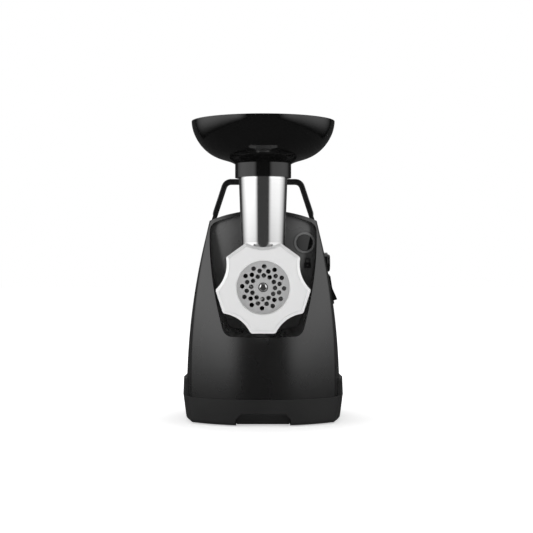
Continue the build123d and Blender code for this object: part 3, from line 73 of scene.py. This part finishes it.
class Finish:
    """A node material in the making, with its principled shader."""

    def __init__(self, name, metallic=0.0, roughness=0.5):
        self.material = bpy.data.materials.new(name)
        self.material.use_nodes = True
        self.tree = self.material.node_tree
        self.shader = self.tree.nodes["Principled BSDF"]
        self.shader.inputs["Metallic"].default_value = metallic
        self.shader.inputs["Roughness"].default_value = roughness
        self.place = self.add("ShaderNodeTexCoord").outputs["Object"]

    def add(self, kind, **inputs):
        made = self.tree.nodes.new(kind)
        for socket, value in inputs.items():
            self.feed(value, made.inputs[socket.replace("_", " ")])
        return made

    def feed(self, value, socket):
        if isinstance(value, bpy.types.NodeSocket):
            self.tree.links.new(value, socket)
        else:
            socket.default_value = value

    def noise(self, scale, detail=3.0, stretch=(1.0, 1.0, 1.0)):
        """Noise over the piece's own coordinates, squeezed along the axes with a larger stretch."""
        spread = self.add("ShaderNodeMapping", Vector=self.place, Scale=stretch)
        return self.add(
            "ShaderNodeTexNoise", Vector=spread.outputs["Vector"], Scale=scale, Detail=detail
        ).outputs["Fac"]

    def turned(self, scale):
        """Noise that changes only with the distance from the auger's axis, like marks left by a lathe."""
        centred = self.add("ShaderNodeVectorMath", Vector=self.place)
        centred.operation = "SUBTRACT"
        centred.inputs[1].default_value = AUGER_CENTRE
        flat = self.add("ShaderNodeVectorMath", Vector=centred.outputs["Vector"])
        flat.operation = "MULTIPLY"
        flat.inputs[1].default_value = ACROSS_AUGER
        reach = self.add("ShaderNodeVectorMath", Vector=flat.outputs["Vector"])
        reach.operation = "LENGTH"
        marks = self.add("ShaderNodeTexNoise", Scale=scale, Detail=4.0)
        marks.noise_dimensions = "1D"
        self.tree.links.new(reach.outputs["Value"], marks.inputs["W"])
        return marks.outputs["Fac"]

    def between(self, factor, low, high, start=0.3, end=0.7):
        """Number that follows a noise between two values."""
        made = self.add("ShaderNodeMapRange")
        self.tree.links.new(factor, made.inputs["Value"])
        for socket, value in zip(RANGE_SOCKETS, (start, end, low, high)):
            made.inputs[socket].default_value = value
        return made.outputs["Result"]

    def colour(self, factor, low, high):
        """Base colour that follows a noise between two colours."""
        ramp = self.add("ShaderNodeValToRGB")
        self.tree.links.new(factor, ramp.inputs["Fac"])
        ramp.color_ramp.elements[0].position = 0.3
        ramp.color_ramp.elements[1].position = 0.7
        ramp.color_ramp.elements[0].color = (*low, 1.0)
        ramp.color_ramp.elements[1].color = (*high, 1.0)
        self.tree.links.new(ramp.outputs["Color"], self.shader.inputs["Base Color"])

    def rough(self, factor, low, high):
        self.tree.links.new(self.between(factor, low, high), self.shader.inputs["Roughness"])

    def bump(self, factor, height, strength=1.0):
        made = self.add("ShaderNodeBump", Height=factor, Distance=height, Strength=strength)
        self.tree.links.new(made.outputs["Normal"], self.shader.inputs["Normal"])

    def set(self, **inputs):
        for socket, value in inputs.items():
            self.shader.inputs[socket.replace("_", " ")].default_value = value


def grey(value):
    return (value, value, value)


def moulded(name, dark, light, rough_low, rough_high, grain=1800.0, specular=0.5):
    """Moulded plastic with a fine spark-eroded grain."""
    made = Finish(name)
    made.set(Specular_IOR_Level=specular)
    broad = made.noise(22.0)
    made.colour(broad, dark, light)
    made.rough(broad, rough_low, rough_high)
    made.bump(made.noise(grain, 2.0), 0.02 * MM, 0.5)
    return made.material


def metal(name, dark, light, rough_low, rough_high, stretch=(1.0, 1.0, 1.0)):
    """Metal with marks running across the stretched axis."""
    made = Finish(name, metallic=1.0)
    marks = made.noise(120.0, 4.0, stretch)
    made.colour(marks, dark, light)
    made.rough(marks, rough_low, rough_high)
    made.bump(marks, 0.004 * MM, 0.4)
    return made.material


def lathe_metal(name, dark, light, rough_low, rough_high, metallic):
    """Metal with fine rings about the auger's axis."""
    made = Finish(name, metallic=metallic)
    marks = made.turned(2600.0)
    made.colour(marks, dark, light)
    made.rough(marks, rough_low, rough_high)
    made.bump(marks, 0.004 * MM, 0.3)
    return made.material


def gloss_plastic():
    """High-gloss black plastic with the faintest waviness."""
    made = Finish("gloss_black")
    broad = made.noise(9.0)
    made.colour(broad, grey(0.0022), grey(0.0035))
    made.rough(broad, 0.06, 0.09)
    made.bump(made.noise(30.0, 1.0), 0.02 * MM, 0.2)
    return made.material


def casting():
    """Polished casting of the feed tube and barrel, with hairlines round the tube."""
    made = Finish("polished_casting", metallic=1.0)
    hairlines = made.noise(40.0, 5.0, (0.4, 0.4, 60.0))
    made.colour(hairlines, grey(0.78), grey(0.84))
    made.rough(hairlines, 0.10, 0.14)
    made.bump(hairlines, 0.002 * MM, 0.3)
    return made.material


finishes = {
    "housing_black": moulded("housing_black", grey(0.0040), grey(0.0055), 0.25, 0.29, specular=0.85),
    # Lighter black for the recess walls and the face plate: a painted reflection, the real plastic is no
    # lighter than the housing
    "recess_painted_reflection": moulded("recess_painted_reflection", grey(0.050), grey(0.065), 0.25, 0.30, specular=0.85),
    # Grey for the ring round the release button: a painted reflection, the real ring is no lighter than
    # the housing
    "bezel_painted_reflection": moulded("bezel_painted_reflection", grey(0.13), grey(0.16), 0.20, 0.26),
    "gloss_black": gloss_plastic(),
    "base_black": moulded("base_black", grey(0.012), grey(0.015), 0.50, 0.56),
    "polished_casting": casting(),
    "satin_aluminium": lathe_metal("satin_aluminium", grey(0.84), grey(0.90), 0.44, 0.50, metallic=0.35),
    "brushed_plate": lathe_metal("brushed_plate", grey(0.50), grey(0.62), 0.34, 0.42, metallic=0.45),
    "machine_steel": metal("machine_steel", grey(0.20), grey(0.28), 0.30, 0.40),
    "gear_steel": metal("gear_steel", grey(0.28), grey(0.38), 0.34, 0.46),
    "lamination": metal("lamination", grey(0.20), grey(0.34), 0.42, 0.55, (1.0, 40.0, 1.0)),
    "copper_wire": metal(
        "copper_wire", (0.55, 0.20, 0.08), (0.72, 0.30, 0.14), 0.30, 0.42, (1.0, 1.0, 30.0)
    ),
    "brass": metal("brass", (0.60, 0.42, 0.14), (0.74, 0.54, 0.22), 0.26, 0.36),
    "rubber_black": moulded("rubber_black", grey(0.012), grey(0.017), 0.70, 0.82, 900.0),
    "white_nylon": moulded("white_nylon", (0.72, 0.71, 0.67), (0.80, 0.79, 0.76), 0.38, 0.46),
    "board_green": moulded(
        "board_green", (0.015, 0.11, 0.045), (0.022, 0.15, 0.06), 0.34, 0.46, 400.0
    ),
    "part_black": moulded("part_black", grey(0.016), grey(0.024), 0.38, 0.48),
    "carbon": moulded("carbon", grey(0.020), grey(0.035), 0.55, 0.70),
    "mark_grey": moulded("mark_grey", grey(0.004), grey(0.006), 0.45, 0.55),
}

for row in frame["record"]["subparts"]:
    mesh = nodes[row["node"]].data
    mesh.materials.clear()
    mesh.materials.append(finishes[NODE_FINISHES_AND_PAINTED_REFLECTIONS.get(row["node"], row["material_slot"])])


def paint_recess_reflection():
    """Paint the inward walls of the hollow round the grinding head a lighter black, as a painted
    reflection.
    """
    shell = nodes["front_shell"]
    shell.data.materials.append(finishes["recess_painted_reflection"])
    lip_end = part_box("front_shell")[0].y + RECESS_SKIP
    for face in shell.data.polygons:
        place = shell.matrix_world @ face.center
        wall = (shell.matrix_world.to_3x3() @ face.normal).normalized()
        inside = abs(place.x) < RECESS_HALF and RECESS_LOW < place.z < RECESS_HIGH and place.y > lip_end
        facing_in = wall.y < RECESS_FACING and wall.x * place.x <= 0.0
        # faces inside the hollow that face inward get the lighter black of the painted reflection
        if inside and facing_in:
            face.material_index = 1


paint_recess_reflection()


# ---------------------------------------------------------------- floor, backdrop and lights
def quad_object(name, half_width, half_height):
    """Rectangle about its own origin, flat in its own XY plane."""
    corners = [(half_width * across, half_height * along, 0) for across, along in CORNER_SIGNS]
    mesh = bpy.data.meshes.new(name)
    mesh.from_pydata(corners, [], [(0, 1, 2, 3)])
    made = bpy.data.objects.new(name, mesh)
    bpy.context.scene.collection.objects.link(made)
    return made


def stage_material(name, diffuse, near_glow, far_glow):
    """Pale surface that glows more away from the object, so that it fades into plain white."""
    made = Finish(name, roughness=1.0)
    made.set(Base_Color=(*grey(diffuse), 1.0), Specular_IOR_Level=0.0, Emission_Color=(1.0, 1.0, 1.0, 1.0))
    reach = made.add("ShaderNodeVectorMath", Vector=made.place)
    reach.operation = "LENGTH"
    glow = made.between(reach.outputs["Value"], near_glow, far_glow, FADE_START, FADE_END)
    made.tree.links.new(glow, made.shader.inputs["Emission Strength"])
    return made.material


def backdrop():
    """Drum of plain white, open below, round everything and seen only by the camera."""
    mesh = bpy.data.meshes.new("backdrop")
    steps = BACKDROP_STEPS
    points = []
    for height in (BACKDROP_LOW, BACKDROP_HIGH):
        for step in range(steps):
            angle = 2 * math.pi * step / steps
            points.append((STAGE_REACH * math.cos(angle), STAGE_REACH * math.sin(angle), height))
    faces = [(i, (i + 1) % steps, steps + (i + 1) % steps, steps + i) for i in range(steps)]
    faces.append(tuple(range(steps, 2 * steps)))
    mesh.from_pydata(points, [], faces)
    made = bpy.data.objects.new("backdrop", mesh)
    bpy.context.scene.collection.objects.link(made)
    made.data.materials.append(stage_material("backdrop_white", 0.0, 1.0, 1.0))
    for ray in ("diffuse", "glossy", "transmission", "shadow", "volume_scatter"):
        setattr(made, "visible_" + ray, False)
    return made


floor = quad_object("floor", STAGE_REACH, STAGE_REACH)
floor.data.materials.append(stage_material("floor_white", 0.85, 0.50, 1.0))
floor.visible_glossy = False
backdrop()


def aim(made, centre, target):
    made.location = centre
    made.rotation_euler = (Vector(target) - Vector(centre)).to_track_quat("-Z", "Y").to_euler()


def softbox(name, centre, target, width, height, radiance, borders=(0.35, 0.35)):
    """Glowing panel facing a point, fading out across a border along its width and its height."""
    made = quad_object(name, width / 2, height / 2)
    aim(made, centre, target)
    look = Finish(name)
    look.tree.nodes.remove(look.shader)
    parts = look.add("ShaderNodeSeparateXYZ", Vector=look.place)
    level = radiance
    for axis, half, border in (("X", width / 2, borders[0]), ("Y", height / 2, borders[1])):
        away = look.add("ShaderNodeMath")
        away.operation = "ABSOLUTE"
        look.tree.links.new(parts.outputs[axis], away.inputs[0])
        fade = look.add("ShaderNodeMapRange")
        fade.interpolation_type = "SMOOTHSTEP"
        look.tree.links.new(away.outputs["Value"], fade.inputs["Value"])
        for socket, value in zip(RANGE_SOCKETS, (half - border, half, 1.0, 0.0)):
            fade.inputs[socket].default_value = value
        product = look.add("ShaderNodeMath")
        product.operation = "MULTIPLY"
        look.feed(fade.outputs["Result"], product.inputs[0])
        look.feed(level, product.inputs[1])
        level = product.outputs["Value"]
    glow = look.add("ShaderNodeEmission")
    look.tree.links.new(level, glow.inputs["Strength"])
    look.tree.links.new(glow.outputs["Emission"], look.tree.nodes["Material Output"].inputs["Surface"])
    made.data.materials.append(look.material)
    made.visible_camera = False
    made.visible_shadow = False


def fill_light(name, centre, target, size, power):
    """Large lamp that lights matt surfaces without showing in glossy ones."""
    lamp = bpy.data.lights.new(name, "AREA")
    lamp.size = size
    lamp.energy = power
    made = bpy.data.objects.new(name, lamp)
    bpy.context.scene.collection.objects.link(made)
    aim(made, centre, target)
    made.visible_camera = False
    made.visible_glossy = False


for name, side, radiance in (("left_softbox", -1, LEFT_RADIANCE), ("right_softbox", 1, RIGHT_RADIANCE)):
    centre = (side * SIDE_REACH, SIDE_ALONG, SIDE_HEIGHT)
    softbox(name, centre, (0.0, SIDE_ALONG, SIDE_HEIGHT), *SIDE_SIZE, radiance, SIDE_BORDERS)
softbox("top_softbox", (0.0, 0.2, 1.8), (0.0, 0.0, 0.1), 1.5, 1.5, 1.2)
softbox("back_softbox", (0.0, 1.7, 1.5), (0.0, 0.0, 0.15), 2.2, 1.2, 1.6)
fill_light("front_fill", (0.0, -2.2, 1.3), (0.0, 0.0, 0.15), 1.6, 17.0)

world = bpy.data.worlds.new("studio")
bpy.context.scene.world = world
world.use_nodes = True
world.node_tree.nodes["Background"].inputs["Color"].default_value = (1.0, 1.0, 1.0, 1.0)
world.node_tree.nodes["Background"].inputs["Strength"].default_value = 0.05

# ---------------------------------------------------------------- camera
lens = bpy.data.cameras.new("camera")
lens.lens = 86.6
lens.sensor_width = 36.0
lens.shift_x = 0.0063
lens.clip_end = 40.0
camera = bpy.data.objects.new("camera", lens)
bpy.context.scene.collection.objects.link(camera)
camera.location = (0.0, -1.454, 0.174)
camera.rotation_euler = (math.radians(90.0), 0.0, 0.0)
bpy.context.scene.camera = camera
bpy.context.scene.view_settings.view_transform = "Standard"
